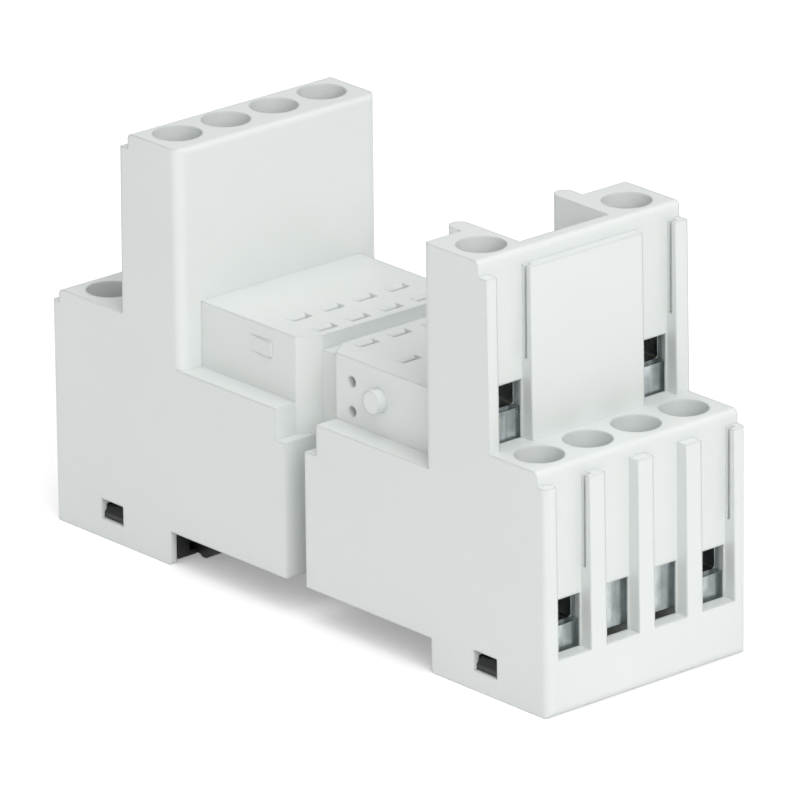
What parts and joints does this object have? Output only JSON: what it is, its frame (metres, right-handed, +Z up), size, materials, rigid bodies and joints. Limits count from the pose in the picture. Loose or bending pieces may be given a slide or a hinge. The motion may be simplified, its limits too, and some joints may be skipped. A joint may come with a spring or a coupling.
{
  "type": "relay socket",
  "caption": "Plug-in relay socket for a top-hat rail: light grey two-tier terminal towers on either side of a slotted relay seat, with rising cage clamps and a sprung rail latch.",
  "frame": {"origin": "middle of the underside of the two feet", "axes": "+X across the rail towards the coil terminals, +Y along the rail, +Z up away from the rail"},
  "size_m": [0.0772, 0.027, 0.0458],
  "materials": {
    "housing_grey": "fine satin moulding",
    "cover_black": "satin moulding",
    "latch_black": "satin moulding",
    "screw_steel": "zinc plated",
    "clamp_zinc": "bright zinc plated",
    "contact_brass": "stamped, tin plated",
    "spring_steel": "spring steel strip"
  },
  "bodies": {
    "socket": {"housing": "housing_grey", "base_cover": "cover_black", "latch_spring": "spring_steel", "contact_1": "contact_brass", "contact_2": "contact_brass", "contact_3": "contact_brass", "contact_4": "contact_brass", "contact_5": "contact_brass", "contact_6": "contact_brass", "contact_7": "contact_brass", "contact_8": "contact_brass", "contact_9": "contact_brass", "contact_10": "contact_brass", "contact_11": "contact_brass", "contact_12": "contact_brass", "contact_13": "contact_brass", "contact_14": "contact_brass"},
    "latch": {"rail_latch": "latch_black"},
    "screw_1": {"screw_1": "screw_steel"},
    "clamp_1": {"clamp_1": "clamp_zinc"},
    "screw_2": {"screw_2": "screw_steel"},
    "clamp_2": {"clamp_2": "clamp_zinc"},
    "screw_3": {"screw_3": "screw_steel"},
    "clamp_3": {"clamp_3": "clamp_zinc"},
    "screw_4": {"screw_4": "screw_steel"},
    "clamp_4": {"clamp_4": "clamp_zinc"},
    "screw_5": {"screw_5": "screw_steel"},
    "clamp_5": {"clamp_5": "clamp_zinc"},
    "screw_6": {"screw_6": "screw_steel"},
    "clamp_6": {"clamp_6": "clamp_zinc"},
    "screw_7": {"screw_7": "screw_steel"},
    "clamp_7": {"clamp_7": "clamp_zinc"},
    "screw_8": {"screw_8": "screw_steel"},
    "clamp_8": {"clamp_8": "clamp_zinc"},
    "screw_9": {"screw_9": "screw_steel"},
    "clamp_9": {"clamp_9": "clamp_zinc"},
    "screw_10": {"screw_10": "screw_steel"},
    "clamp_10": {"clamp_10": "clamp_zinc"},
    "screw_11": {"screw_11": "screw_steel"},
    "clamp_11": {"clamp_11": "clamp_zinc"},
    "screw_12": {"screw_12": "screw_steel"},
    "clamp_12": {"clamp_12": "clamp_zinc"},
    "screw_13": {"screw_13": "screw_steel"},
    "clamp_13": {"clamp_13": "clamp_zinc"},
    "screw_14": {"screw_14": "screw_steel"},
    "clamp_14": {"clamp_14": "clamp_zinc"}
  },
  "joints": [
    {"name": "latch_slide", "type": "slide", "parent": "socket", "child": "latch", "axis": [1, 0, 0], "range_m": [-0.002, 0], "stiffness_N_per_m": 2500, "springref_m": 0.0008, "deforming": ["latch_spring"]},
    {"name": "screw_1_turn", "type": "hinge", "parent": "socket", "child": "screw_1", "pos_m": [-0.0219, -0.00975, 0.0363], "axis": [0, 0, -1], "range_deg": [0, 2088]},
    {"name": "clamp_1_lift", "type": "slide", "parent": "socket", "child": "clamp_1", "axis": [0, 0, 1], "range_m": [0, 0.0029]},
    {"name": "screw_2_turn", "type": "hinge", "parent": "socket", "child": "screw_2", "pos_m": [-0.0219, -0.00325, 0.0363], "axis": [0, 0, -1], "range_deg": [0, 2088]},
    {"name": "clamp_2_lift", "type": "slide", "parent": "socket", "child": "clamp_2", "axis": [0, 0, 1], "range_m": [0, 0.0029]},
    {"name": "screw_3_turn", "type": "hinge", "parent": "socket", "child": "screw_3", "pos_m": [-0.0219, 0.00325, 0.0363], "axis": [0, 0, -1], "range_deg": [0, 2088]},
    {"name": "clamp_3_lift", "type": "slide", "parent": "socket", "child": "clamp_3", "axis": [0, 0, 1], "range_m": [0, 0.0029]},
    {"name": "screw_4_turn", "type": "hinge", "parent": "socket", "child": "screw_4", "pos_m": [-0.0219, 0.00975, 0.0363], "axis": [0, 0, -1], "range_deg": [0, 2088]},
    {"name": "clamp_4_lift", "type": "slide", "parent": "socket", "child": "clamp_4", "axis": [0, 0, 1], "range_m": [0, 0.0029]},
    {"name": "screw_5_turn", "type": "hinge", "parent": "socket", "child": "screw_5", "pos_m": [-0.0332, -0.00975, 0.016], "axis": [0, 0, -1], "range_deg": [0, 2088]},
    {"name": "clamp_5_lift", "type": "slide", "parent": "socket", "child": "clamp_5", "axis": [0, 0, 1], "range_m": [0, 0.0029]},
    {"name": "screw_6_turn", "type": "hinge", "parent": "socket", "child": "screw_6", "pos_m": [-0.0332, -0.00325, 0.016], "axis": [0, 0, -1], "range_deg": [0, 2088]},
    {"name": "clamp_6_lift", "type": "slide", "parent": "socket", "child": "clamp_6", "axis": [0, 0, 1], "range_m": [0, 0.0029]},
    {"name": "screw_7_turn", "type": "hinge", "parent": "socket", "child": "screw_7", "pos_m": [-0.0332, 0.00325, 0.016], "axis": [0, 0, -1], "range_deg": [0, 2088]},
    {"name": "clamp_7_lift", "type": "slide", "parent": "socket", "child": "clamp_7", "axis": [0, 0, 1], "range_m": [0, 0.0029]},
    {"name": "screw_8_turn", "type": "hinge", "parent": "socket", "child": "screw_8", "pos_m": [-0.0332, 0.00975, 0.016], "axis": [0, 0, -1], "range_deg": [0, 2088]},
    {"name": "clamp_8_lift", "type": "slide", "parent": "socket", "child": "clamp_8", "axis": [0, 0, 1], "range_m": [0, 0.0029]},
    {"name": "screw_9_turn", "type": "hinge", "parent": "socket", "child": "screw_9", "pos_m": [0.0332, -0.00975, 0.016], "axis": [0, 0, -1], "range_deg": [0, 2088]},
    {"name": "clamp_9_lift", "type": "slide", "parent": "socket", "child": "clamp_9", "axis": [0, 0, 1], "range_m": [0, 0.0029]},
    {"name": "screw_10_turn", "type": "hinge", "parent": "socket", "child": "screw_10", "pos_m": [0.0332, -0.00325, 0.016], "axis": [0, 0, -1], "range_deg": [-2088, 0]},
    {"name": "clamp_10_lift", "type": "slide", "parent": "socket", "child": "clamp_10", "axis": [0, 0, 1], "range_m": [-0.0029, 0]},
    {"name": "screw_11_turn", "type": "hinge", "parent": "socket", "child": "screw_11", "pos_m": [0.0332, 0.00325, 0.016], "axis": [0, 0, -1], "range_deg": [-2088, 0]},
    {"name": "clamp_11_lift", "type": "slide", "parent": "socket", "child": "clamp_11", "axis": [0, 0, 1], "range_m": [-0.0029, 0]},
    {"name": "screw_12_turn", "type": "hinge", "parent": "socket", "child": "screw_12", "pos_m": [0.0332, 0.00975, 0.016], "axis": [0, 0, -1], "range_deg": [0, 2088]},
    {"name": "clamp_12_lift", "type": "slide", "parent": "socket", "child": "clamp_12", "axis": [0, 0, 1], "range_m": [0, 0.0029]},
    {"name": "screw_13_turn", "type": "hinge", "parent": "socket", "child": "screw_13", "pos_m": [0.0248, -0.00975, 0.0363], "axis": [0, 0, -1], "range_deg": [0, 2088]},
    {"name": "clamp_13_lift", "type": "slide", "parent": "socket", "child": "clamp_13", "axis": [0, 0, 1], "range_m": [0, 0.0029]},
    {"name": "screw_14_turn", "type": "hinge", "parent": "socket", "child": "screw_14", "pos_m": [0.0248, 0.00975, 0.0363], "axis": [0, 0, -1], "range_deg": [0, 2088]},
    {"name": "clamp_14_lift", "type": "slide", "parent": "socket", "child": "clamp_14", "axis": [0, 0, 1], "range_m": [0, 0.0029]}
  ],
  "couplings": [
    {"joint": "screw_1_turn", "follows": "clamp_1_lift", "rad_per_m": 12566},
    {"joint": "screw_2_turn", "follows": "clamp_2_lift", "rad_per_m": 12566},
    {"joint": "screw_3_turn", "follows": "clamp_3_lift", "rad_per_m": 12566},
    {"joint": "screw_4_turn", "follows": "clamp_4_lift", "rad_per_m": 12566},
    {"joint": "screw_5_turn", "follows": "clamp_5_lift", "rad_per_m": 12566},
    {"joint": "screw_6_turn", "follows": "clamp_6_lift", "rad_per_m": 12566},
    {"joint": "screw_7_turn", "follows": "clamp_7_lift", "rad_per_m": 12566},
    {"joint": "screw_8_turn", "follows": "clamp_8_lift", "rad_per_m": 12566},
    {"joint": "screw_9_turn", "follows": "clamp_9_lift", "rad_per_m": 12566},
    {"joint": "screw_10_turn", "follows": "clamp_10_lift", "rad_per_m": 12566},
    {"joint": "screw_11_turn", "follows": "clamp_11_lift", "rad_per_m": 12566},
    {"joint": "screw_12_turn", "follows": "clamp_12_lift", "rad_per_m": 12566},
    {"joint": "screw_13_turn", "follows": "clamp_13_lift", "rad_per_m": 12566},
    {"joint": "screw_14_turn", "follows": "clamp_14_lift", "rad_per_m": 12566}
  ]
}
